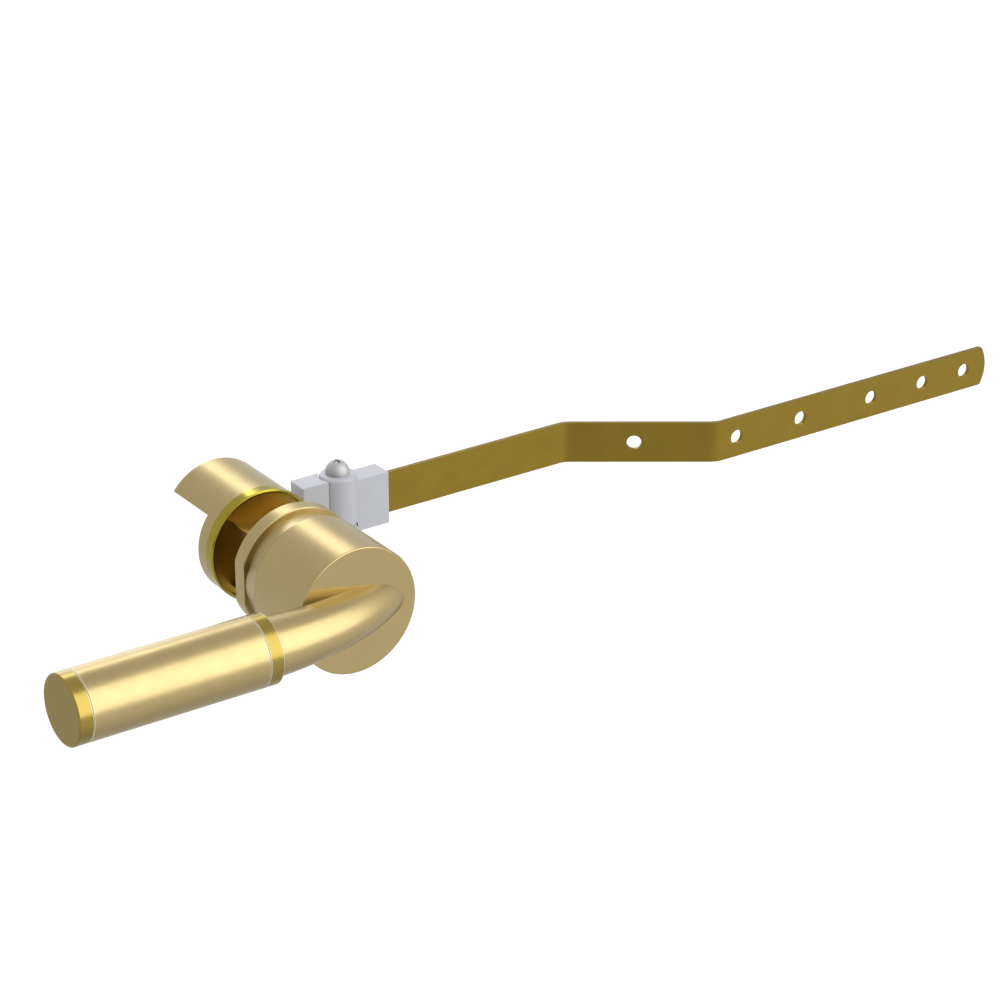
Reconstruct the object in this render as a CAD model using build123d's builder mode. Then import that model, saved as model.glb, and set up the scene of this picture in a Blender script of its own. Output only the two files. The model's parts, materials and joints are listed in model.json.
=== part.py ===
from build123d import *

import math
import os

# Trip lever (flush handle) of a toilet tank, with a perforated brass arm on a clamped pivot.
#
# Frame: the spindle turns about the Y axis. Y = 0 is the face that seats on the outside of the
# tank wall, +Y goes back into the tank, +X runs along the arm and +Z is up. All in millimetres.

os.makedirs("parts", exist_ok=True)

# Escutcheon: waisted boss, round flange with two side flats, square block that fits the wall's
# hole and ends on the nut's web, and behind it a square shank with threaded corners
FLANGE_RADIUS = 17.5
FLANGE_FLATS = 32.9
FLANGE_FRONT_Y = -4.5
FLANGE_EDGE = 0.3
BOSS_FRONT_Y = -10.7
BOSS_FRONT_RADIUS = 17.3
BOSS_WAIST_RADIUS = 16.2
BOSS_CURVE_RADIUS = 26.0
BLOCK_SQUARE = 19.0
BLOCK_EDGE = 0.3
SHANK_SQUARE = 16.0
SHANK_CORNER_RADIUS = 9.25
SHANK_END_Y = 19.6
THREAD_PITCH = 1.5
THREAD_DEPTH = 0.6

# Lever hub and its curved neck
HUB_RADIUS = 17.5
HUB_FACE_Y = -33.3
HUB_REAR_Y = -11.0
HUB_EDGE = 0.35
HUB_BOSS_RADIUS = 7.0
HUB_BOSS_END_Y = -11.5
HUB_POCKET_RADIUS = 14.0
HUB_POCKET_Y = -24.0
HUB_SCREW_Y = -16.0
HUB_SCREW_ACCESS_RADIUS = 2.4
NECK_START_RADIUS = 7.93
NECK_TAPER = 0.047
NECK_BEND_X = -23.2
NECK_BEND_RADIUS = 66.0
NECK_END_ANGLE = 33.0
NECK_SECTIONS = 4

# Grip, a round bar across the front of the hub
GRIP_RADIUS = 9.33
GRIP_Y = -37.6
RING_RIGHT_X = -29.9
RING_WIDTH = 3.85
SLEEVE_LENGTH = 49.15
SLEEVE_WALL = 1.3
CAP_WIDTH = 4.0
CAP_CHAMFER = 0.35
CAP_SPIGOT = 3.0
RING_SPIGOT = 2.0
STUD_RADIUS = 3.0
STUD_IN_NECK = 9.0
STUD_IN_CAP = 2.0
STUD_CHAMFER = 0.4
SEAM_CHAMFER = 0.15

# Spindle and its bearings
SPINDLE_RADIUS = 4.0
SPINDLE_FRONT_Y = -26.0
SPINDLE_SQUARE = 5.6
SPINDLE_FLAT_Z = -3.3
SPINDLE_FLAT_LENGTH = 8.0
SPINDLE_TAPPING_DEPTH = 10.0
BUSH_RADIUS = 5.0
BUSH_FLANGE_RADIUS = 6.5
BUSH_FLANGE = 0.9
RUNNING_GAP = 0.05
FRONT_BUSH_END_Y = -1.0
REAR_BUSH_END_Y = 10.0
O_RING_Y = 6.0
O_RING_RADIUS = 0.9
O_RING_GROOVE_DEPTH = 1.0
O_RING_GROOVE_WIDTH = 2.1

# Dished ring nut and the stop hood behind it
NUT_RADIUS = 15.9
NUT_FRONT_Y = 13.0
NUT_WIDTH = 3.2
NUT_CHAMFER = 0.4
NUT_DISH_RADIUS = 15.1
NUT_WEB = 1.4
HOOD_RADIUS = 15.8
HOOD_WALL = 3.0
HOOD_RING_END_Y = 20.3
HOOD_END_Y = 38.4
HOOD_EDGE_Z = 9.6

# Arm carrier, clamp and the upright pivot between them
PIVOT_X = 29.9
PIVOT_Y = 23.9
KNUCKLE_RADIUS = 5.1
KNUCKLE_TOP_Z = 9.5
KNUCKLE_SPLIT_Z = -5.0
KNUCKLE_SPLIT_GAP = 0.3
KNUCKLE_BOTTOM_Z = -9.0
KNUCKLE_GAP = 0.3
KNUCKLE_BLEND = 0.8
KNUCKLE_TOP_ROUND = 1.0
CARRIER_FRONT_Y = 20.6
CARRIER_REAR_Y = 27.6
CARRIER_LEAF_X = 17.2
CARRIER_LEAF_DEPTH = 6.6
CARRIER_LEAF_TOP_Z = 9.0
CARRIER_LEAF_BOTTOM_Z = -7.6
CARRIER_BAR_TOP_Z = 2.8
CARRIER_HUB_RADIUS = 8.5
CLAMP_END_X = 44.0
CLAMP_HEIGHT = 15.2
CLAMP_DEPTH = 6.6
PLASTIC_EDGE = 0.35

# Full stroke of the lever, and the stop that sets it
STROKE = 25.0
STOP_LUG_WIDTH = 24.0
STOP_INNER_RADIUS = 11.2
STOP_OUTER_RADIUS = 13.8
STOP_LUG_DEPTH = 1.6
STOP_ARM_DEPTH = 3.0
STOP_GAP = 0.25

# Arm: half-hard brass strip on edge, with one jog towards the tank wall
STRIP_THICKNESS = 1.2
STRIP_HEIGHT = 12.0
STRIP_Y = 23.46
STRIP_START_X = 35.4
STRIP_TIP_X = 241.3
BEND_X = 104.8
BEND_RADIUS = 6.0
JOG = 24.6
JOG_ANGLE = 34.6
TIP_RADIUS = 11.4
HOOK_HOLE_RADIUS = 2.1
JOG_HOLE_FRACTION = 0.46
HOOK_HOLES_X = [147.3, 170.5, 197.0, 216.7, 232.9]
TIP_EDGE = 0.8
ANCHOR_X = 39.6
ANCHOR_RADIUS = 2.0
ANCHOR_PEG = 3.0

# Fasteners
M4_RADIUS = 2.0
M4_NUT_FLATS = 7.0
M4_NUT_HEIGHT = 2.2
M4_SOCKET_FLATS = 2.0
M3_RADIUS = 1.5
M3_SOCKET_FLATS = 1.5
HUB_SCREW_LENGTH = 6.0
HOOD_SCREW_LENGTH = 5.5
PIVOT_HEAD_RADIUS = 3.3
PIVOT_HEAD_BAND = 0.4
PIVOT_SHANK_END = 0.4
PIVOT_SHANK_CHAMFER = 0.3
PIVOT_RECESS_SPAN = 2.6
PIVOT_RECESS_WIDTH = 0.6
PIVOT_RECESS_DEPTH = 1.6
PAN_HEAD_RADIUS = 3.6
PAN_HEAD_HEIGHT = 2.6
PAN_HEAD_ROUND = 1.2
PAN_RECESS_SPAN = 4.0
PAN_RECESS_WIDTH = 0.9
PAN_RECESS_DEPTH = 1.6
PAN_SCREW_LENGTH = 9.0
CARRIER_WASHER_RADIUS = 5.5
CARRIER_WASHER_THICKNESS = 0.8

# Cutting tools reach past whatever they cut
PAST = 20.0


def finish(builder, label):
    """Name a finished piece and write its STEP file."""
    builder.part.label = label
    export_step(builder.part, f"parts/{label}.step")


def sector(inner, outer, start, sweep_angle):
    """Ring sector in the current sketch, angles from the sketch's X axis."""
    with BuildLine() as outline:
        CenterArc((0, 0), inner, start, sweep_angle)
        CenterArc((0, 0), outer, start, sweep_angle)
        for angle in (start, start + sweep_angle):
            cosine = math.cos(math.radians(angle))
            sine = math.sin(math.radians(angle))
            Line((inner * cosine, inner * sine), (outer * cosine, outer * sine))
    make_face(outline.edges())


def across(y):
    """Plane square to the spindle at y, its own X and Y being the part's +X and +Z."""
    return Plane(origin=(0, y, 0), x_dir=(1, 0, 0), z_dir=(0, -1, 0))


# ---------------------------------------------------------------- fixed to the tank wall

nut_web_y = NUT_FRONT_Y + NUT_WIDTH - NUT_WEB

with BuildPart() as escutcheon:
    with BuildSketch(Plane.XY):
        with BuildLine():
            boss_front = (BOSS_FRONT_RADIUS, BOSS_FRONT_Y)
            boss_waist = (BOSS_WAIST_RADIUS, FLANGE_FRONT_Y)
            RadiusArc(boss_front, boss_waist, BOSS_CURVE_RADIUS)
            Polyline(
                boss_waist,
                (FLANGE_RADIUS - FLANGE_EDGE, FLANGE_FRONT_Y),
                (FLANGE_RADIUS, FLANGE_FRONT_Y + FLANGE_EDGE),
                (FLANGE_RADIUS, -FLANGE_EDGE),
                (FLANGE_RADIUS - FLANGE_EDGE, 0),
                (0, 0),
                (0, BOSS_FRONT_Y),
                boss_front,
            )
        make_face()
    revolve(axis=Axis.Y)
    for side in (-1, 1):
        with BuildSketch(across(0)):
            with Locations((side * (FLANGE_FLATS + PAST) / 2, 0)):
                Rectangle(PAST, 3 * FLANGE_RADIUS)
        extrude(amount=-FLANGE_FRONT_Y, mode=Mode.SUBTRACT)
    with BuildSketch(across(SHANK_END_Y)):
        Rectangle(SHANK_SQUARE, SHANK_SQUARE)
        Circle(SHANK_CORNER_RADIUS, mode=Mode.INTERSECT)
    extrude(amount=SHANK_END_Y)
    with BuildSketch(across(nut_web_y)):
        RectangleRounded(BLOCK_SQUARE, BLOCK_SQUARE, BLOCK_EDGE)
    extrude(amount=nut_web_y)
    # Thread on the shank's four corners, one V groove for each turn
    groove_count = int((SHANK_END_Y - nut_web_y) / THREAD_PITCH)
    with BuildSketch(Plane.XY):
        for turn in range(groove_count):
            groove_y = SHANK_END_Y - THREAD_PITCH * (turn + 0.5)
            with BuildLine():
                Polyline(
                    (SHANK_CORNER_RADIUS - THREAD_DEPTH, groove_y),
                    (SHANK_CORNER_RADIUS + RUNNING_GAP, groove_y - THREAD_DEPTH),
                    (SHANK_CORNER_RADIUS + RUNNING_GAP, groove_y + THREAD_DEPTH),
                    close=True,
                )
            make_face()
    revolve(axis=Axis.Y, mode=Mode.SUBTRACT)
    # Bore for the two bushings, with a seat for the front one's flange
    with BuildSketch(across(SHANK_END_Y)):
        Circle(BUSH_RADIUS)
    extrude(amount=SHANK_END_Y - BOSS_FRONT_Y, mode=Mode.SUBTRACT)
    with BuildSketch(across(BOSS_FRONT_Y + BUSH_FLANGE)):
        Circle(BUSH_FLANGE_RADIUS)
    extrude(amount=BUSH_FLANGE, mode=Mode.SUBTRACT)
finish(escutcheon, "escutcheon")


def bushing(flange_y, sleeve_y):
    """Flanged plain bearing, from its flange's outer face to its sleeve's far end."""
    inward = 1 if sleeve_y > flange_y else -1
    shoulder_y = flange_y + inward * BUSH_FLANGE
    with BuildPart() as bush:
        with BuildSketch(Plane.XY):
            with BuildLine():
                Polyline(
                    (SPINDLE_RADIUS + RUNNING_GAP, flange_y),
                    (BUSH_FLANGE_RADIUS, flange_y),
                    (BUSH_FLANGE_RADIUS, shoulder_y),
                    (BUSH_RADIUS, shoulder_y),
                    (BUSH_RADIUS, sleeve_y),
                    (SPINDLE_RADIUS + RUNNING_GAP, sleeve_y),
                    close=True,
                )
            make_face()
        revolve(axis=Axis.Y)
    return bush


finish(bushing(BOSS_FRONT_Y, FRONT_BUSH_END_Y), "front_bushing")
finish(bushing(SHANK_END_Y + BUSH_FLANGE, REAR_BUSH_END_Y), "rear_bushing")

with BuildPart() as mounting_nut:
    with BuildSketch(Plane.XY):
        with BuildLine():
            Polyline(
                (SHANK_CORNER_RADIUS + RUNNING_GAP, nut_web_y),
                (NUT_DISH_RADIUS, nut_web_y),
                (NUT_DISH_RADIUS, NUT_FRONT_Y),
                (NUT_RADIUS - NUT_CHAMFER, NUT_FRONT_Y),
                (NUT_RADIUS, NUT_FRONT_Y + NUT_CHAMFER),
                (NUT_RADIUS, NUT_FRONT_Y + NUT_WIDTH),
                (SHANK_CORNER_RADIUS + RUNNING_GAP, NUT_FRONT_Y + NUT_WIDTH),
                close=True,
            )
        make_face()
    revolve(axis=Axis.Y)
finish(mounting_nut, "mounting_nut")

with BuildPart() as stop_hood:
    hood_ring_y = NUT_FRONT_Y + NUT_WIDTH
    with BuildSketch(across(HOOD_END_Y)):
        Circle(HOOD_RADIUS)
        Circle(HOOD_RADIUS - HOOD_WALL, mode=Mode.SUBTRACT)
        with Locations((0, HOOD_EDGE_Z - HOOD_RADIUS)):
            Rectangle(3 * HOOD_RADIUS, 2 * HOOD_RADIUS, mode=Mode.SUBTRACT)
    extrude(amount=HOOD_END_Y - HOOD_RING_END_Y)
    with BuildSketch(across(HOOD_RING_END_Y)):
        Circle(HOOD_RADIUS)
    extrude(amount=HOOD_RING_END_Y - hood_ring_y)
    with BuildSketch(across(HOOD_RING_END_Y)):
        Rectangle(SHANK_SQUARE + 2 * RUNNING_GAP, SHANK_SQUARE + 2 * RUNNING_GAP)
        Circle(SHANK_CORNER_RADIUS + 2 * RUNNING_GAP, mode=Mode.INTERSECT)
    extrude(amount=HOOD_RING_END_Y - hood_ring_y, mode=Mode.SUBTRACT)
    # Curved slot in the ring's rear face, where the carrier's lug finds its two stops
    stop_gap_angle = math.degrees(STOP_GAP / STOP_OUTER_RADIUS)
    lug_start = 270 - STOP_LUG_WIDTH / 2
    with BuildSketch(across(HOOD_RING_END_Y)):
        sector(
            STOP_INNER_RADIUS - STOP_GAP,
            STOP_OUTER_RADIUS + STOP_GAP,
            lug_start - stop_gap_angle,
            STOP_LUG_WIDTH + STROKE + 2 * stop_gap_angle,
        )
    extrude(amount=STOP_LUG_DEPTH + STOP_GAP, mode=Mode.SUBTRACT)
    # Tapped hole for the grub screw that locks the ring on the shank
    hood_screw_y = (hood_ring_y + HOOD_RING_END_Y) / 2
    with BuildSketch(Plane.YZ.offset(HOOD_RADIUS)):
        with Locations((hood_screw_y, 0)):
            Circle(M3_RADIUS)
    extrude(amount=-(HOOD_RADIUS - SHANK_SQUARE / 2), mode=Mode.SUBTRACT)
finish(stop_hood, "stop_hood")


def grub_screw(tip, direction, radius, length, socket_flats):
    """Headless screw from its flat tip along direction, with a hexagon socket in its outer end."""
    with BuildPart() as screw:
        with BuildSketch(Plane(origin=tip, z_dir=direction)):
            Circle(radius)
        extrude(amount=length)
        socket_plane = Plane(origin=tip, z_dir=direction).offset(length)
        with BuildSketch(socket_plane):
            RegularPolygon(socket_flats / 2, 6, major_radius=False)
        extrude(amount=-length / 2, mode=Mode.SUBTRACT)
    return screw


hood_set_screw = grub_screw(
    (SHANK_SQUARE / 2, hood_screw_y, 0), (1, 0, 0), M3_RADIUS, HOOD_SCREW_LENGTH, M3_SOCKET_FLATS
)
finish(hood_set_screw, "hood_set_screw")

# ---------------------------------------------------------------- lever, turning on the spindle

neck_axis_centre_y = GRIP_Y + NECK_BEND_RADIUS


def neck_section(angle):
    """Plane and radius of the neck where its centre line has turned by angle."""
    turn = math.radians(angle)
    x = NECK_BEND_X + NECK_BEND_RADIUS * math.sin(turn)
    y = neck_axis_centre_y - NECK_BEND_RADIUS * math.cos(turn)
    plane = Plane(origin=(x, y, 0), x_dir=(0, 0, 1), z_dir=(math.cos(turn), math.sin(turn), 0))
    return plane, NECK_START_RADIUS - NECK_TAPER * (x - RING_RIGHT_X)


with BuildPart() as lever_hub:
    # Tapered neck, bending into the hub
    neck_root = Plane(origin=(RING_RIGHT_X, GRIP_Y, 0), x_dir=(0, 0, 1), z_dir=(1, 0, 0))
    with BuildSketch(neck_root):
        Circle(NECK_START_RADIUS)
    for section in range(NECK_SECTIONS):
        section_angle = NECK_END_ANGLE * (section + 0.25) / (NECK_SECTIONS - 0.75)
        section_plane, section_radius = neck_section(section_angle)
        with BuildSketch(section_plane):
            Circle(section_radius)
    loft()
    with BuildSketch(across(HUB_FACE_Y + PAST)):
        with Locations((HUB_RADIUS, 0)):
            Rectangle(3 * HUB_RADIUS, 2 * HUB_RADIUS)
    extrude(amount=PAST, mode=Mode.SUBTRACT)
    # Turned hub
    with BuildSketch(Plane.XY):
        with BuildLine():
            hub_edge_y = HUB_FACE_Y + HUB_EDGE
            Line((0, HUB_FACE_Y), (HUB_RADIUS - HUB_EDGE, HUB_FACE_Y))
            RadiusArc((HUB_RADIUS - HUB_EDGE, HUB_FACE_Y), (HUB_RADIUS, hub_edge_y), -HUB_EDGE)
            Polyline(
                (HUB_RADIUS, hub_edge_y),
                (HUB_RADIUS, HUB_REAR_Y),
                (0, HUB_REAR_Y),
                (0, HUB_FACE_Y),
            )
        make_face()
    revolve(axis=Axis.Y)
    # Casting pocket around the spindle boss, which stands back by the thrust washer
    with BuildSketch(across(HUB_REAR_Y)):
        Circle(HUB_POCKET_RADIUS)
        Circle(HUB_BOSS_RADIUS, mode=Mode.SUBTRACT)
    extrude(amount=HUB_REAR_Y - HUB_POCKET_Y, mode=Mode.SUBTRACT)
    with BuildSketch(across(HUB_REAR_Y)):
        Circle(HUB_BOSS_RADIUS)
    extrude(amount=HUB_REAR_Y - HUB_BOSS_END_Y, mode=Mode.SUBTRACT)
    with BuildSketch(across(HUB_REAR_Y)):
        Circle(SPINDLE_RADIUS)
    extrude(amount=HUB_REAR_Y - SPINDLE_FRONT_Y, mode=Mode.SUBTRACT)
    # Set screw: tapped through the boss, with a larger hole through the outer wall
    for hole_radius, hole_depth in (
        (HUB_SCREW_ACCESS_RADIUS, HUB_RADIUS - HUB_BOSS_RADIUS - 1),
        (M4_RADIUS, HUB_RADIUS),
    ):
        with BuildSketch(Plane.XY.offset(-HUB_RADIUS)):
            with Locations((0, HUB_SCREW_Y)):
                Circle(hole_radius)
        extrude(amount=hole_depth, mode=Mode.SUBTRACT)
    # Tapped blind hole for the grip's stud
    with BuildSketch(neck_root):
        Circle(STUD_RADIUS)
    extrude(amount=STUD_IN_NECK + 1, mode=Mode.SUBTRACT)
finish(lever_hub, "lever_hub")

hub_set_screw = grub_screw(
    (0, HUB_SCREW_Y, SPINDLE_FLAT_Z), (0, 0, -1), M4_RADIUS, HUB_SCREW_LENGTH, M4_SOCKET_FLATS
)
finish(hub_set_screw, "hub_set_screw")


def grip_plane(x):
    """Plane square to the grip's axis at x, facing +X."""
    return Plane(origin=(x, GRIP_Y, 0), x_dir=(0, 0, 1), z_dir=(1, 0, 0))


sleeve_right_x = RING_RIGHT_X - RING_WIDTH
sleeve_left_x = sleeve_right_x - SLEEVE_LENGTH
cap_left_x = sleeve_left_x - CAP_WIDTH
sleeve_bore = GRIP_RADIUS - SLEEVE_WALL
stud_left_x = sleeve_left_x - STUD_IN_CAP

with BuildPart() as grip_ring:
    with BuildSketch(grip_plane(sleeve_right_x)):
        Circle(GRIP_RADIUS)
    extrude(amount=RING_WIDTH)
    chamfer(grip_ring.edges().filter_by(GeomType.CIRCLE), SEAM_CHAMFER)
    with BuildSketch(grip_plane(sleeve_right_x)):
        Circle(sleeve_bore)
    extrude(amount=-RING_SPIGOT)
    with BuildSketch(grip_plane(RING_RIGHT_X)):
        Circle(STUD_RADIUS)
    extrude(amount=-(RING_WIDTH + RING_SPIGOT), mode=Mode.SUBTRACT)
finish(grip_ring, "grip_ring")

with BuildPart() as grip_sleeve:
    with BuildSketch(grip_plane(sleeve_left_x)):
        Circle(GRIP_RADIUS)
    extrude(amount=SLEEVE_LENGTH)
    chamfer(grip_sleeve.edges(), SEAM_CHAMFER)
    with BuildSketch(grip_plane(sleeve_left_x)):
        Circle(sleeve_bore)
    extrude(amount=SLEEVE_LENGTH, mode=Mode.SUBTRACT)
finish(grip_sleeve, "grip_sleeve")

with BuildPart() as end_cap:
    with BuildSketch(grip_plane(cap_left_x)):
        Circle(GRIP_RADIUS)
    extrude(amount=CAP_WIDTH)
    chamfer(end_cap.edges().group_by(Axis.X)[0], CAP_CHAMFER)
    chamfer(end_cap.edges().group_by(Axis.X)[-1], SEAM_CHAMFER)
    with BuildSketch(grip_plane(sleeve_left_x)):
        Circle(sleeve_bore)
    extrude(amount=CAP_SPIGOT)
    with BuildSketch(grip_plane(stud_left_x)):
        Circle(STUD_RADIUS)
    extrude(amount=STUD_IN_CAP + CAP_SPIGOT, mode=Mode.SUBTRACT)
finish(end_cap, "end_cap")

with BuildPart() as grip_stud:
    with BuildSketch(grip_plane(stud_left_x)):
        Circle(STUD_RADIUS)
    extrude(amount=RING_RIGHT_X + STUD_IN_NECK - stud_left_x)
    chamfer(grip_stud.edges(), STUD_CHAMFER)
finish(grip_stud, "grip_stud")

spindle_end_y = CARRIER_REAR_Y - 0.2

with BuildPart() as spindle:
    with BuildSketch(across(CARRIER_FRONT_Y)):
        Circle(SPINDLE_RADIUS)
    extrude(amount=CARRIER_FRONT_Y - SPINDLE_FRONT_Y)
    with BuildSketch(across(spindle_end_y)):
        Rectangle(SPINDLE_SQUARE, SPINDLE_SQUARE)
        Circle(SPINDLE_RADIUS, mode=Mode.INTERSECT)
    extrude(amount=spindle_end_y - CARRIER_FRONT_Y)
    # Flat for the set screw
    with BuildSketch(Plane.XY.offset(SPINDLE_FLAT_Z)):
        with Locations((0, HUB_SCREW_Y)):
            Rectangle(3 * SPINDLE_RADIUS, SPINDLE_FLAT_LENGTH)
    extrude(amount=-SPINDLE_RADIUS, mode=Mode.SUBTRACT)
    # Groove for the O-ring
    with BuildSketch(Plane.XY):
        with Locations((SPINDLE_RADIUS, O_RING_Y)):
            Rectangle(2 * O_RING_GROOVE_DEPTH, O_RING_GROOVE_WIDTH)
    revolve(axis=Axis.Y, mode=Mode.SUBTRACT)
    # Tapped hole in the rear end
    with BuildSketch(across(spindle_end_y)):
        Circle(M4_RADIUS)
    extrude(amount=SPINDLE_TAPPING_DEPTH, mode=Mode.SUBTRACT)
finish(spindle, "spindle")

with BuildPart() as spindle_o_ring:
    with BuildSketch(Plane.XY):
        with Locations((BUSH_RADIUS - O_RING_RADIUS - RUNNING_GAP, O_RING_Y)):
            Circle(O_RING_RADIUS)
    revolve(axis=Axis.Y)
finish(spindle_o_ring, "spindle_o_ring")

with BuildPart() as thrust_washer:
    thrust_washer_y = BOSS_FRONT_Y - RUNNING_GAP
    with BuildSketch(across(thrust_washer_y)):
        Circle(BUSH_FLANGE_RADIUS)
        Circle(SPINDLE_RADIUS + RUNNING_GAP, mode=Mode.SUBTRACT)
    extrude(amount=thrust_washer_y - HUB_BOSS_END_Y)
finish(thrust_washer, "thrust_washer")

with BuildPart() as arm_carrier:
    carrier_depth = CARRIER_REAR_Y - CARRIER_FRONT_Y
    lower_knuckle_z = KNUCKLE_SPLIT_Z - KNUCKLE_SPLIT_GAP / 2
    # Leaf that reaches out to the pivot
    with BuildSketch(Plane.XY.offset(CARRIER_LEAF_BOTTOM_Z)):
        with Locations(((CARRIER_LEAF_X + PIVOT_X) / 2, CARRIER_REAR_Y - CARRIER_LEAF_DEPTH / 2)):
            Rectangle(PIVOT_X - CARRIER_LEAF_X, CARRIER_LEAF_DEPTH)
    extrude(amount=CARRIER_LEAF_TOP_Z - CARRIER_LEAF_BOTTOM_Z)
    fillet(arm_carrier.edges().group_by(Axis.X)[0], PLASTIC_EDGE)
    # Hub on the spindle's square, and a low bar from it to the leaf
    with BuildSketch(across(CARRIER_REAR_Y)):
        Circle(CARRIER_HUB_RADIUS)
        with Locations((CARRIER_LEAF_X / 2 + 1, (CARRIER_BAR_TOP_Z + CARRIER_LEAF_BOTTOM_Z) / 2)):
            Rectangle(CARRIER_LEAF_X + 2, CARRIER_BAR_TOP_Z - CARRIER_LEAF_BOTTOM_Z)
    extrude(amount=carrier_depth)
    # Stop lug below the hub, reaching forward into the hood's slot
    with BuildSketch(across(CARRIER_FRONT_Y + STOP_ARM_DEPTH)):
        sector(CARRIER_HUB_RADIUS - 1, STOP_OUTER_RADIUS, lug_start, STOP_LUG_WIDTH)
    extrude(amount=STOP_ARM_DEPTH)
    with BuildSketch(across(CARRIER_FRONT_Y)):
        sector(STOP_INNER_RADIUS, STOP_OUTER_RADIUS, lug_start, STOP_LUG_WIDTH)
    extrude(amount=STOP_LUG_DEPTH + CARRIER_FRONT_Y - HOOD_RING_END_Y)
    # Clear the clamp's knuckle above the split, then add the lower knuckle
    with BuildSketch(Plane.XY.offset(lower_knuckle_z)):
        with Locations((PIVOT_X, PIVOT_Y)):
            Circle(KNUCKLE_RADIUS + KNUCKLE_GAP)
    extrude(amount=PAST, mode=Mode.SUBTRACT)
    with BuildSketch(Plane.XY.offset(KNUCKLE_BOTTOM_Z)):
        with Locations((PIVOT_X, PIVOT_Y)):
            Circle(KNUCKLE_RADIUS)
    extrude(amount=lower_knuckle_z - KNUCKLE_BOTTOM_Z)
    with BuildSketch(Plane.XY.offset(KNUCKLE_BOTTOM_Z)):
        with Locations((PIVOT_X, PIVOT_Y)):
            Circle(M4_RADIUS)
    extrude(amount=PAST, mode=Mode.SUBTRACT)
    with BuildSketch(Plane.XY.offset(KNUCKLE_BOTTOM_Z)):
        with Locations((PIVOT_X, PIVOT_Y)):
            RegularPolygon(M4_NUT_FLATS / 2, 6, major_radius=False)
    extrude(amount=M4_NUT_HEIGHT, mode=Mode.SUBTRACT)
    with BuildSketch(across(CARRIER_REAR_Y)):
        Rectangle(SPINDLE_SQUARE, SPINDLE_SQUARE)
        Circle(SPINDLE_RADIUS, mode=Mode.INTERSECT)
    extrude(amount=carrier_depth, mode=Mode.SUBTRACT)
finish(arm_carrier, "arm_carrier")

pan_head_y = CARRIER_REAR_Y + CARRIER_WASHER_THICKNESS

with BuildPart() as carrier_washer:
    with BuildSketch(across(pan_head_y)):
        Circle(CARRIER_WASHER_RADIUS)
        Circle(M4_RADIUS, mode=Mode.SUBTRACT)
    extrude(amount=CARRIER_WASHER_THICKNESS)
finish(carrier_washer, "carrier_washer")

with BuildPart() as carrier_screw:
    with BuildSketch(across(pan_head_y + PAN_HEAD_HEIGHT)):
        Circle(PAN_HEAD_RADIUS)
    extrude(amount=PAN_HEAD_HEIGHT)
    fillet(carrier_screw.edges().group_by(Axis.Y)[-1], PAN_HEAD_ROUND)
    with BuildSketch(across(pan_head_y)):
        Circle(M4_RADIUS)
    extrude(amount=PAN_SCREW_LENGTH)
    with BuildSketch(across(pan_head_y + PAN_HEAD_HEIGHT)):
        Rectangle(PAN_RECESS_SPAN, PAN_RECESS_WIDTH)
        Rectangle(PAN_RECESS_WIDTH, PAN_RECESS_SPAN)
    extrude(amount=PAN_RECESS_DEPTH, mode=Mode.SUBTRACT)
finish(carrier_screw, "carrier_screw")

# ---------------------------------------------------------------- arm, swinging on the pivot

jog_length_x = JOG / math.tan(math.radians(JOG_ANGLE))

with BuildPart() as arm_strip:
    with BuildLine() as strip_path:
        FilletPolyline(
            (STRIP_START_X, STRIP_Y),
            (BEND_X, STRIP_Y),
            (BEND_X + jog_length_x, STRIP_Y - JOG),
            (STRIP_TIP_X, STRIP_Y - JOG),
            radius=BEND_RADIUS,
        )
    with BuildSketch(Plane(origin=(STRIP_START_X, STRIP_Y, 0), x_dir=(0, 1, 0), z_dir=(1, 0, 0))):
        Rectangle(STRIP_THICKNESS, STRIP_HEIGHT)
    sweep()
    # Domed tip
    tip_y = STRIP_Y - JOG
    with BuildSketch(across(tip_y)):
        with Locations((STRIP_TIP_X, 0)):
            Rectangle(TIP_RADIUS, 2 * STRIP_HEIGHT)
        with Locations((STRIP_TIP_X - TIP_RADIUS, 0)):
            Circle(TIP_RADIUS, mode=Mode.SUBTRACT)
    extrude(amount=2 * STRIP_THICKNESS, both=True, mode=Mode.SUBTRACT)
    fillet(arm_strip.edges().filter_by(Axis.Y).group_by(Axis.X)[-1], TIP_EDGE)
    # Chain hook holes, one in the jog and the rest along the tip
    with BuildSketch(across(tip_y)):
        with Locations(*[(x, 0) for x in HOOK_HOLES_X]):
            Circle(HOOK_HOLE_RADIUS)
    extrude(amount=2 * STRIP_THICKNESS, both=True, mode=Mode.SUBTRACT)
    jog_turn = math.radians(JOG_ANGLE)
    jog_hole = (BEND_X + JOG_HOLE_FRACTION * jog_length_x, STRIP_Y - JOG_HOLE_FRACTION * JOG, 0)
    with BuildSketch(Plane(origin=jog_hole, z_dir=(-math.sin(jog_turn), -math.cos(jog_turn), 0))):
        Circle(HOOK_HOLE_RADIUS)
    extrude(amount=2 * STRIP_THICKNESS, both=True, mode=Mode.SUBTRACT)
    # Hole that the clamp's moulded peg fills
    with BuildSketch(across(STRIP_Y)):
        with Locations((ANCHOR_X, 0)):
            Circle(ANCHOR_RADIUS)
    extrude(amount=2 * STRIP_THICKNESS, both=True, mode=Mode.SUBTRACT)
finish(arm_strip, "arm_strip")

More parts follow.
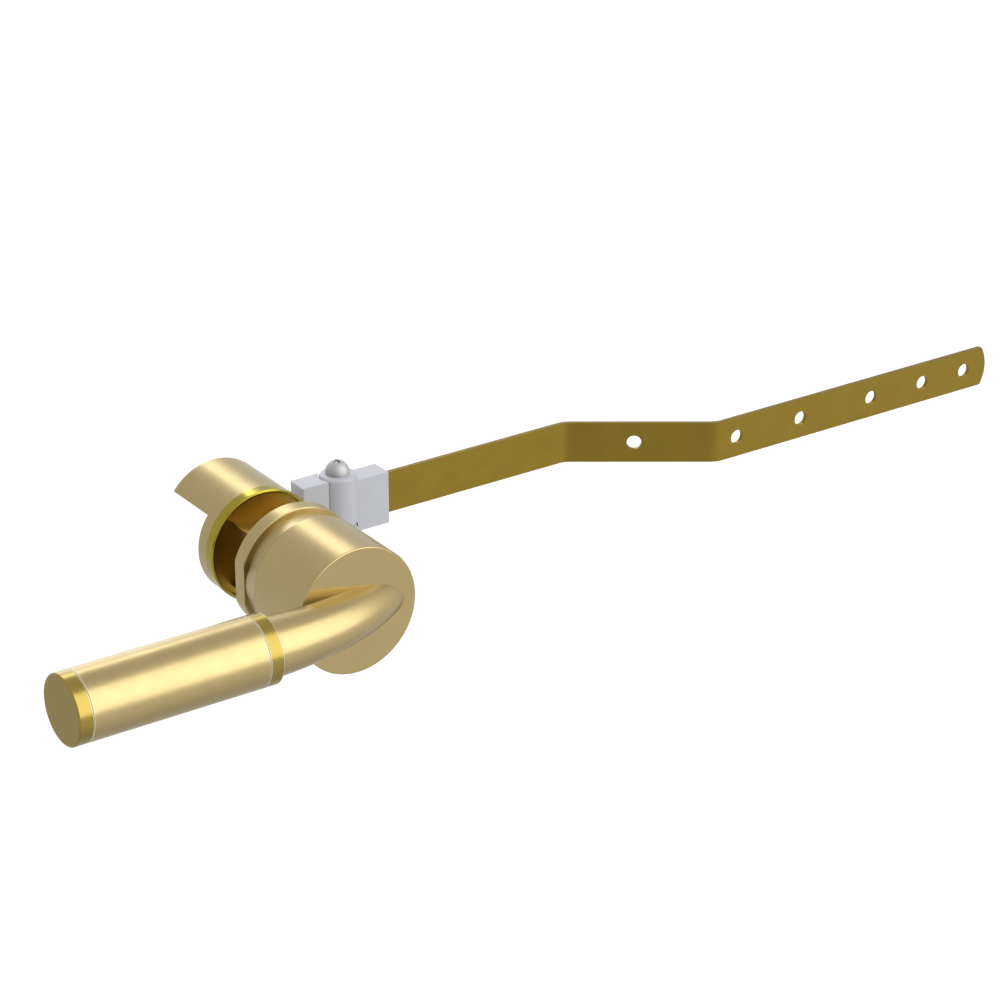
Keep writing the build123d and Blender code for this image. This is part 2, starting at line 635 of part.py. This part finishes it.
with BuildPart() as arm_clamp:
    upper_knuckle_z = KNUCKLE_SPLIT_Z + KNUCKLE_SPLIT_GAP / 2
    # Leaf moulded over the strip's end
    with BuildSketch(Plane.XY.offset(-CLAMP_HEIGHT / 2)):
        with Locations(((PIVOT_X + CLAMP_END_X) / 2, STRIP_Y)):
            Rectangle(CLAMP_END_X - PIVOT_X, CLAMP_DEPTH)
    extrude(amount=CLAMP_HEIGHT)
    fillet(arm_clamp.edges().group_by(Axis.X)[-1], PLASTIC_EDGE)
    # Upper knuckle, blended into the leaf and rounded under the screw's head
    with BuildSketch(Plane.XY.offset(-CLAMP_HEIGHT / 2)):
        with Locations((PIVOT_X, PIVOT_Y)):
            Circle(KNUCKLE_RADIUS)
    extrude(amount=KNUCKLE_TOP_Z + CLAMP_HEIGHT / 2)
    junctions = arm_clamp.edges().filter_by_position(Axis.X, PIVOT_X, PIVOT_X + KNUCKLE_RADIUS)
    fillet(junctions.filter_by(Axis.Z), KNUCKLE_BLEND)
    fillet(arm_clamp.edges().group_by(Axis.Z)[-1], KNUCKLE_TOP_ROUND)
    # Clear the carrier's knuckle below the split
    with BuildSketch(Plane.XY.offset(upper_knuckle_z)):
        with Locations((PIVOT_X, PIVOT_Y)):
            Circle(KNUCKLE_RADIUS + KNUCKLE_GAP)
    extrude(amount=-PAST, mode=Mode.SUBTRACT)
    with BuildSketch(Plane.XY.offset(KNUCKLE_TOP_Z)):
        with Locations((PIVOT_X, PIVOT_Y)):
            Circle(M4_RADIUS + RUNNING_GAP)
    extrude(amount=-PAST, mode=Mode.SUBTRACT)
    # Slot for the strip, with the peg through its anchor hole
    with BuildSketch(Plane.XY.offset(-STRIP_HEIGHT / 2)):
        with Locations(((STRIP_START_X + CLAMP_END_X) / 2, STRIP_Y)):
            Rectangle(CLAMP_END_X - STRIP_START_X, STRIP_THICKNESS)
    extrude(amount=STRIP_HEIGHT, mode=Mode.SUBTRACT)
    with BuildSketch(across(STRIP_Y)):
        with Locations((ANCHOR_X, 0)):
            Circle(ANCHOR_RADIUS)
    extrude(amount=ANCHOR_PEG / 2, both=True)
finish(arm_clamp, "arm_clamp")

with BuildPart() as pivot_washer:
    with BuildSketch(Plane.XY.offset(lower_knuckle_z)):
        with Locations((PIVOT_X, PIVOT_Y)):
            Circle(KNUCKLE_RADIUS - 2 * KNUCKLE_GAP)
            Circle(M4_RADIUS, mode=Mode.SUBTRACT)
    extrude(amount=KNUCKLE_SPLIT_GAP - RUNNING_GAP)
finish(pivot_washer, "pivot_washer")

with BuildPart() as pivot_screw:
    dome_z = KNUCKLE_TOP_Z + PIVOT_HEAD_BAND
    shank_end_z = KNUCKLE_BOTTOM_Z + PIVOT_SHANK_END
    with BuildSketch(Plane(origin=(PIVOT_X, PIVOT_Y, 0), x_dir=(1, 0, 0), z_dir=(0, -1, 0))):
        with BuildLine():
            Polyline(
                (0, dome_z + PIVOT_HEAD_RADIUS),
                (0, shank_end_z),
                (M4_RADIUS - PIVOT_SHANK_CHAMFER, shank_end_z),
                (M4_RADIUS, shank_end_z + PIVOT_SHANK_CHAMFER),
                (M4_RADIUS, KNUCKLE_TOP_Z),
                (PIVOT_HEAD_RADIUS, KNUCKLE_TOP_Z),
                (PIVOT_HEAD_RADIUS, dome_z),
            )
            RadiusArc((PIVOT_HEAD_RADIUS, dome_z), (0, dome_z + PIVOT_HEAD_RADIUS), -PIVOT_HEAD_RADIUS)
        make_face()
    revolve(axis=Axis(origin=(PIVOT_X, PIVOT_Y, 0), direction=(0, 0, 1)))
    # Cross recess
    with BuildSketch(Plane.XY.offset(dome_z + PIVOT_HEAD_RADIUS)):
        with Locations((PIVOT_X, PIVOT_Y)):
            Rectangle(PIVOT_RECESS_SPAN, PIVOT_RECESS_WIDTH)
            Rectangle(PIVOT_RECESS_WIDTH, PIVOT_RECESS_SPAN)
    extrude(amount=-PIVOT_RECESS_DEPTH, mode=Mode.SUBTRACT)
finish(pivot_screw, "pivot_screw")

with BuildPart() as pivot_nut:
    with BuildSketch(Plane.XY.offset(KNUCKLE_BOTTOM_Z)):
        with Locations((PIVOT_X, PIVOT_Y)):
            RegularPolygon(M4_NUT_FLATS / 2, 6, major_radius=False)
            Circle(M4_RADIUS, mode=Mode.SUBTRACT)
    extrude(amount=M4_NUT_HEIGHT)
finish(pivot_nut, "pivot_nut")
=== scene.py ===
import json
import math

import bmesh
import bpy
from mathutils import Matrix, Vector


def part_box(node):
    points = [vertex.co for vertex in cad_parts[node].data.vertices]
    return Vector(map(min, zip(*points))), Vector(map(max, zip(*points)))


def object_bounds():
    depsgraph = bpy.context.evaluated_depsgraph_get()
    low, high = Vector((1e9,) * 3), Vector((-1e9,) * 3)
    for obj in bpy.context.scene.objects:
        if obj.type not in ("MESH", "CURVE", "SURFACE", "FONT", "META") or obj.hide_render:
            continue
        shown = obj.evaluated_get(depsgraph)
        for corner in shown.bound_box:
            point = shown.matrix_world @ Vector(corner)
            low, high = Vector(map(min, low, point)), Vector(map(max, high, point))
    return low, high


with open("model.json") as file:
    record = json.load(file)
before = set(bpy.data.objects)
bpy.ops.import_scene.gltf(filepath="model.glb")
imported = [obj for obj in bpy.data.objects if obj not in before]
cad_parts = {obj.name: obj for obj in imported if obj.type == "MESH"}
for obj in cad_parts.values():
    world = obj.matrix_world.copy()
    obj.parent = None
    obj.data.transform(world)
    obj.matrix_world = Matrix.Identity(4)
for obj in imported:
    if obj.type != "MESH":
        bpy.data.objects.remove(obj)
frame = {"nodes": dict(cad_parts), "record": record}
cad_box = [list(corner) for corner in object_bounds()]

MM = 0.001
scene = bpy.context.scene

# ---------------------------------------------------------------- node building

NOISE_DETAIL = 3.0
NOISE_RANGE = (0.3, 0.7)  # where most of a noise's values lie
FINE_SHARE = 0.5  # most that the fine grain counts in the tone, beside the patches
BEVEL_SAMPLES = 6
EDGE_COSINES = (0.995, 0.96)  # how far the normal bends where an edge begins and where it is full


def feed(tree, value, socket):
    """Gives a socket a plain value or another node's output."""
    if isinstance(value, bpy.types.NodeSocket):
        tree.links.new(value, socket)
    else:
        socket.default_value = value


def calculate(tree, kind, operation, *values):
    """Math or VectorMath node that works on values or other nodes' outputs."""
    node = tree.nodes.new(f"ShaderNode{kind}")
    node.operation = operation
    for socket, value in zip(node.inputs, values):
        feed(tree, value, socket)
    return node


def component(tree, vector, axis):
    """One of the three numbers of a vector."""
    split = tree.nodes.new("ShaderNodeSeparateXYZ")
    tree.links.new(vector, split.inputs["Vector"])
    return split.outputs[axis]


def remap(tree, value, from_range, to_range, curve="LINEAR"):
    """Change of one range into another, held at its ends."""
    node = tree.nodes.new("ShaderNodeMapRange")
    node.interpolation_type = curve
    node.inputs["From Min"].default_value, node.inputs["From Max"].default_value = from_range
    node.inputs["To Min"].default_value, node.inputs["To Max"].default_value = to_range
    tree.links.new(value, node.inputs["Value"])
    return node.outputs["Result"]


def mix(tree, kind, factor, first, second):
    """Goes from first to second; kind is RGBA for colours and FLOAT for numbers."""
    node = tree.nodes.new("ShaderNodeMix")
    node.data_type = kind
    socket_type = "RGBA" if kind == "RGBA" else "VALUE"
    ends = [s for s in node.inputs if s.type == socket_type and s.name in ("A", "B")]
    for socket, value in zip(ends, (first, second)):
        feed(tree, value, socket)
    tree.links.new(factor, node.inputs["Factor"])
    return next(socket for socket in node.outputs if socket.type == socket_type)


def position(tree):
    """The object's own coordinates, in metres."""
    return tree.nodes.new("ShaderNodeTexCoord").outputs["Object"]


def grain(tree, size, stretch=(1, 1, 1), tilt=0.0):
    """Noise with spots of size millimetres, drawn out along each axis by stretch.

    tilt turns it about Y, in degrees.
    """
    mapping = tree.nodes.new("ShaderNodeMapping")
    mapping.inputs["Rotation"].default_value[1] = math.radians(tilt)
    mapping.inputs["Scale"].default_value = [1 / (size * MM * factor) for factor in stretch]
    noise = tree.nodes.new("ShaderNodeTexNoise")
    noise.inputs["Scale"].default_value = 1.0
    noise.inputs["Detail"].default_value = NOISE_DETAIL
    tree.links.new(position(tree), mapping.inputs["Vector"])
    tree.links.new(mapping.outputs["Vector"], noise.inputs["Vector"])
    return noise.outputs["Fac"]


def bump(tree, height, depth):
    """Normal of a relief depth millimetres deep."""
    node = tree.nodes.new("ShaderNodeBump")
    node.inputs["Distance"].default_value = depth * MM
    tree.links.new(height, node.inputs["Height"])
    return node.outputs["Normal"]


def edge_mask(tree, width):
    """1 on the piece's sharp edges, fading out over width millimetres."""
    bevel = tree.nodes.new("ShaderNodeBevel")
    bevel.samples = BEVEL_SAMPLES
    bevel.inputs["Radius"].default_value = width * MM
    facing = tree.nodes.new("ShaderNodeNewGeometry").outputs["Normal"]
    bend = calculate(tree, "VectorMath", "DOT_PRODUCT", bevel.outputs["Normal"], facing)
    return remap(tree, bend.outputs["Value"], EDGE_COSINES, (0.0, 1.0))


def beyond(tree, axis, start, fade):
    """0 before start and 1 from fade further on, in millimetres along an axis."""
    return remap(
        tree, component(tree, position(tree), axis), (start * MM, (start + fade) * MM), (0.0, 1.0)
    )


# ---------------------------------------------------------------- camera

FOCUS = Vector((36.4, -44.0, 25.6)) * MM
CAMERA_AZIMUTH = -34.63
CAMERA_ELEVATION = 24.89
CAMERA_DISTANCE = 846.8 * MM
LENS_MM = 120.04


def direction(azimuth, elevation):
    """Unit vector towards a place around the object, with azimuth 0 in front and 90 on the right."""
    turn = math.radians(azimuth)
    lift = math.radians(elevation)
    return Vector((math.sin(turn) * math.cos(lift), -math.cos(turn) * math.cos(lift), math.sin(lift)))


def add_aimed(name, data, place, target):
    """Object that holds a camera or light at place and points it at target."""
    holder = bpy.data.objects.new(name, data)
    scene.collection.objects.link(holder)
    holder.location = place
    holder.rotation_euler = (target - place).to_track_quat("-Z", "Y").to_euler()
    return holder


camera_data = bpy.data.cameras.new("camera")
camera_data.lens = LENS_MM
camera_place = FOCUS + direction(CAMERA_AZIMUTH, CAMERA_ELEVATION) * CAMERA_DISTANCE
scene.camera = add_aimed("camera", camera_data, camera_place, FOCUS)

# ---------------------------------------------------------------- studio

LIGHT_DISTANCE = 1.6
GROUND_LIGHT = 0.78
SKY_LIGHT = 1.0
HORIZON = (-0.85, -0.45)  # heights on the unit sphere where ground goes over into sky
GLOW_LIGHT = 0.2
GLOW_AZIMUTH = 36
GLOW_ELEVATION = -12
GLOW_COSINES = (0.5, 0.95)  # nearness to its middle where the glow begins and where it is full
FLOOR_DROP = 0.12
FLOOR_REACH = 6.0


def softbox(name, azimuth, elevation, width, height, power):
    """Rectangular area light that faces the hub."""
    data = bpy.data.lights.new(name, "AREA")
    data.shape = "RECTANGLE"
    data.size = width
    data.size_y = height
    data.energy = power
    return add_aimed(name, data, direction(azimuth, elevation) * LIGHT_DISTANCE, Vector((0, 0, 0)))


softbox("back_light", azimuth=157, elevation=38, width=0.45, height=0.45, power=2.7)
softbox("low_back_light", azimuth=161, elevation=5, width=0.65, height=0.9, power=1.6)
softbox("rim_light", azimuth=165, elevation=18, width=0.28, height=0.55, power=1.5)
front_light = softbox("front_light", azimuth=32, elevation=26, width=2.0, height=2.0, power=33)
# Lights reflections only, so that the plastics and the floor don't wash out
front_light.visible_diffuse = False


def world_light(tree):
    """Strength of the world: sky brighter than ground, and a soft glow low in front on the right."""
    heading = tree.nodes.new("ShaderNodeTexCoord").outputs["Generated"]
    sky = remap(
        tree, component(tree, heading, "Z"), HORIZON, (GROUND_LIGHT, SKY_LIGHT), "SMOOTHSTEP"
    )
    glow_middle = direction(GLOW_AZIMUTH, GLOW_ELEVATION)
    nearness = calculate(tree, "VectorMath", "DOT_PRODUCT", heading, glow_middle)
    glow = remap(tree, nearness.outputs["Value"], GLOW_COSINES, (0.0, GLOW_LIGHT), "SMOOTHSTEP")
    return calculate(tree, "Math", "ADD", sky, glow).outputs["Value"]


world = bpy.data.worlds.new("studio")
world.use_nodes = True
background = world.node_tree.nodes["Background"]
background.inputs["Color"].default_value = (1, 1, 1, 1)
world.node_tree.links.new(world_light(world.node_tree), background.inputs["Strength"])
scene.world = world
scene.view_settings.view_transform = "Standard"

floor_mesh = bpy.data.meshes.new("floor")
floor_form = bmesh.new()
bmesh.ops.create_grid(floor_form, x_segments=1, y_segments=1, size=FLOOR_REACH)
floor_form.to_mesh(floor_mesh)
floor = bpy.data.objects.new("floor", floor_mesh)
floor.location.z = cad_box[0][2] - FLOOR_DROP
# Metal that faces down reflects the world, not the floor
floor.visible_glossy = False
scene.collection.objects.link(floor)

# ---------------------------------------------------------------- materials

SATIN_GOLD = (0.355, 0.278, 0.13)
POLISHED_GOLD = (0.26, 0.192, 0.046)
# Darker, deeper gold on the cap's flat end face: painted shade of the darker surroundings that this
# face reflects
CAP_FACE_SHADE_GOLD = (0.2, 0.14, 0.006)
# Pale colour of the painted highlight line along the grip's seams
SEAM_HIGHLIGHT = (0.72, 0.68, 0.58)
RAW_BRASS = (0.27, 0.215, 0.022)
# Brass of the nut's dish and of the parts behind the flange: partly their bare brass, partly painted
# shade and warm painted reflection of the gap between flange and nut
RECESS_SHADED_BRASS = (0.265, 0.17, 0.03)
ARM_BRASS = (0.2, 0.138, 0.02)
GREY_PLASTIC = (0.49, 0.5, 0.54)
NYLON = (0.8, 0.78, 0.7)
RUBBER = (0.03, 0.03, 0.03)
ZINC_STEEL = (0.48, 0.48, 0.49)
PIVOT_STEEL = (0.4, 0.405, 0.41)
TURNED_STEEL = (0.48, 0.48, 0.48)
PAPER = (0.97, 0.97, 0.97)

SATIN_ROUGHNESS = 0.33
POLISHED_ROUGHNESS = 0.26
HUB_FACE_ROUGHNESS = 0.12
RECESS_BRASS_ROUGHNESS = 0.32
SEAM_ROUGHNESS = 0.45

# Places of the masks on the object, in millimetres
CAP_LEFT_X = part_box("end_cap")[0][0] / MM
CAP_EDGE_WIDTH = 1.0
CAP_EDGE_FADE = 0.2
SEAM_WIDTH = 0.25
HUB_FACE_Y = -33.3
RECESS_SHADE_Y = -0.25  # just in front of the flange's rear face, where the painted shade of the gap begins
RECESS_SHADE_FADE = 0.2
NUT_DISH_RADIUS = 15.1
NUT_DISH_FADE = 0.05
FLAT_TOLERANCE = 0.02


def blasted(size):
    """Even grain with no direction, with spots of size millimetres."""
    return lambda tree: grain(tree, size)


def brushed(size, length, tilt=0.0):
    """Lines along X, size millimetres wide and length times as long, tilted by tilt degrees."""
    return lambda tree: grain(tree, size, (length, 1, 1), tilt)


def tinted(colour, factor):
    """The colour made lighter or darker, with the alpha that a colour socket needs."""
    return (*(channel * factor for channel in colour), 1)


def surface(name, colour, fine, roughness, metallic, spread, spot, fine_spread, relief):
    """Patches of slightly different tone, spot millimetres across, under a finer grain.

    fine makes the grain from the material's nodes; it moves the tone by spread, the roughness
    by fine_spread, and the surface by relief millimetres.
    """
    material = bpy.data.materials.new(name)
    material.use_nodes = True
    tree = material.node_tree
    shader = tree.nodes["Principled BSDF"]
    pattern = fine(tree)
    fine_part = remap(tree, pattern, NOISE_RANGE, (0.0, FINE_SHARE))
    patches = mix(tree, "FLOAT", fine_part, grain(tree, spot), pattern)
    steps = remap(tree, patches, NOISE_RANGE, (0.0, 1.0))
    tone = mix(tree, "RGBA", steps, tinted(colour, 1 - spread), tinted(colour, 1 + spread))
    gloss_range = (roughness - fine_spread, roughness + fine_spread)
    gloss = remap(tree, pattern, NOISE_RANGE, gloss_range)
    shader.inputs["Metallic"].default_value = metallic
    tree.links.new(tone, shader.inputs["Base Color"])
    tree.links.new(gloss, shader.inputs["Roughness"])
    tree.links.new(bump(tree, pattern, relief), shader.inputs["Normal"])
    return material


def repaint(material, mask_maker, colour, roughness):
    """Gives the surface another roughness, and a colour if there is one, where the mask is 1."""
    tree = material.node_tree
    shader = tree.nodes["Principled BSDF"]
    mask = mask_maker(tree)
    changes = {"Roughness": ("FLOAT", roughness)}
    if colour:
        changes["Base Color"] = ("RGBA", (*colour, 1))
    for name, (kind, value) in changes.items():
        socket = shader.inputs[name]
        before = socket.links[0].from_socket
        tree.links.new(mix(tree, kind, mask, before, value), socket)
    return material


def flat_at(axis, place):
    """Mask that is 1 on the flat face at a place along an axis in millimetres."""

    def mask(tree):
        along = component(tree, position(tree), axis)
        compare = calculate(tree, "Math", "COMPARE", along, place * MM, FLAT_TOLERANCE * MM)
        return compare.outputs["Value"]

    return mask


def seam_highlight_mask(tree):
    """1 on the edges where two pieces of the grip meet, not on the cap's outer edge; a pale painted
    highlight line goes there.
    """
    past_cap_edge = beyond(tree, "X", CAP_LEFT_X + CAP_EDGE_WIDTH, CAP_EDGE_FADE)
    both = calculate(tree, "Math", "MULTIPLY", edge_mask(tree, SEAM_WIDTH), past_cap_edge)
    return both.outputs["Value"]


def behind_flange(tree):
    """1 on the flange's rear face, the block and the shank, where darker brass with painted shade of
    the gap goes.
    """
    return beyond(tree, "Y", RECESS_SHADE_Y, RECESS_SHADE_FADE)


def nut_dish(tree):
    """1 inside the nut's dished front, within its rim, where darker brass with painted shade and
    reflection of the gap goes.
    """
    off_axis = calculate(tree, "VectorMath", "MULTIPLY", position(tree), (1, 0, 1))
    radius = calculate(tree, "VectorMath", "LENGTH", off_axis.outputs["Vector"])
    rim = (NUT_DISH_RADIUS * MM, (NUT_DISH_RADIUS + NUT_DISH_FADE) * MM)
    return remap(tree, radius.outputs["Value"], rim, (1.0, 0.0))


def satin(name):
    """Plain gold plate of the hub, boss and hood."""
    return surface(
        name, SATIN_GOLD, blasted(size=0.3), roughness=SATIN_ROUGHNESS, metallic=1.0,
        spread=0.03, spot=8.0, fine_spread=0.03, relief=0.0015,
    )


def polished(name):
    """Darker gold of the collar and cap, with a pale painted highlight line where they meet the
    sleeve.
    """
    gold = surface(
        name, POLISHED_GOLD, blasted(size=0.12), roughness=POLISHED_ROUGHNESS, metallic=1.0,
        spread=0.04, spot=3.0, fine_spread=0.02, relief=0.0003,
    )
    return repaint(gold, seam_highlight_mask, SEAM_HIGHLIGHT, SEAM_ROUGHNESS)


plain_brushed_gold = surface(
    "brushed_gold", SATIN_GOLD, brushed(size=0.22, length=22, tilt=9),
    roughness=SATIN_ROUGHNESS, metallic=1.0,
    spread=0.06, spot=6.0, fine_spread=0.05, relief=0.002,
)
plain_raw_brass = surface(
    "raw_brass", RAW_BRASS, blasted(size=0.3), roughness=0.2, metallic=1.0,
    spread=0.06, spot=4.0, fine_spread=0.03, relief=0.001,
)
MATERIALS = {
    "satin_gold": satin("satin_gold"),
    "polished_gold": polished("polished_gold"),
    # The sleeve also gets the pale painted highlight line at its seams
    "brushed_gold": repaint(plain_brushed_gold, seam_highlight_mask, SEAM_HIGHLIGHT, SEAM_ROUGHNESS),
    # The nut's dish gets the darker brass: painted shade and reflection of the gap
    "raw_brass": repaint(plain_raw_brass, nut_dish, RECESS_SHADED_BRASS, RECESS_BRASS_ROUGHNESS),
    "arm_brass": surface(
        "arm_brass", ARM_BRASS, brushed(size=0.25, length=30), roughness=0.4, metallic=1.0,
        spread=0.05, spot=7.0, fine_spread=0.05, relief=0.002,
    ),
    "grey_plastic": surface(
        "grey_plastic", GREY_PLASTIC, blasted(size=0.2), roughness=0.42, metallic=0.0,
        spread=0.015, spot=5.0, fine_spread=0.04, relief=0.004,
    ),
    "bearing_nylon": surface(
        "bearing_nylon", NYLON, blasted(size=0.15), roughness=0.42, metallic=0.0,
        spread=0.02, spot=3.0, fine_spread=0.05, relief=0.004,
    ),
    "seal_rubber": surface(
        "seal_rubber", RUBBER, blasted(size=0.1), roughness=0.6, metallic=0.0,
        spread=0.2, spot=2.0, fine_spread=0.08, relief=0.004,
    ),
    "screw_steel": surface(
        "screw_steel", ZINC_STEEL, blasted(size=0.15), roughness=0.32, metallic=1.0,
        spread=0.05, spot=2.0, fine_spread=0.05, relief=0.002,
    ),
    "pivot_steel": surface(
        "pivot_steel", PIVOT_STEEL, blasted(size=0.15), roughness=0.6, metallic=0.7,
        spread=0.04, spot=2.0, fine_spread=0.05, relief=0.002,
    ),
    "spindle_steel": surface(
        "spindle_steel", TURNED_STEEL, blasted(size=0.15), roughness=0.3, metallic=1.0,
        spread=0.05, spot=3.0, fine_spread=0.05, relief=0.002,
    ),
}

# Pieces that carry more than their slot's plain finish
SPECIAL = {
    "lever_hub": repaint(satin("hub_gold"), flat_at("Y", HUB_FACE_Y), None, HUB_FACE_ROUGHNESS),
    # The cap's flat end face gets the darker gold of painted shade
    "end_cap": repaint(
        polished("cap_gold"), flat_at("X", CAP_LEFT_X), CAP_FACE_SHADE_GOLD, POLISHED_ROUGHNESS
    # Behind the flange the gold turns to darker brass: bare brass with painted shade of the gap
    ),
    "escutcheon": repaint(
        satin("escutcheon_gold"), behind_flange, RECESS_SHADED_BRASS, RECESS_BRASS_ROUGHNESS
    ),
}

floor_mesh.materials.append(surface(
    "floor_paper", PAPER, blasted(size=0.5), roughness=0.95, metallic=0.0,
    spread=0.0, spot=9.0, fine_spread=0.02, relief=0.0,
))

for part in frame["record"]["subparts"]:
    mesh = frame["nodes"][part["node"]].data
    mesh.materials.clear()
    mesh.materials.append(SPECIAL.get(part["node"], MATERIALS[part["material_slot"]]))
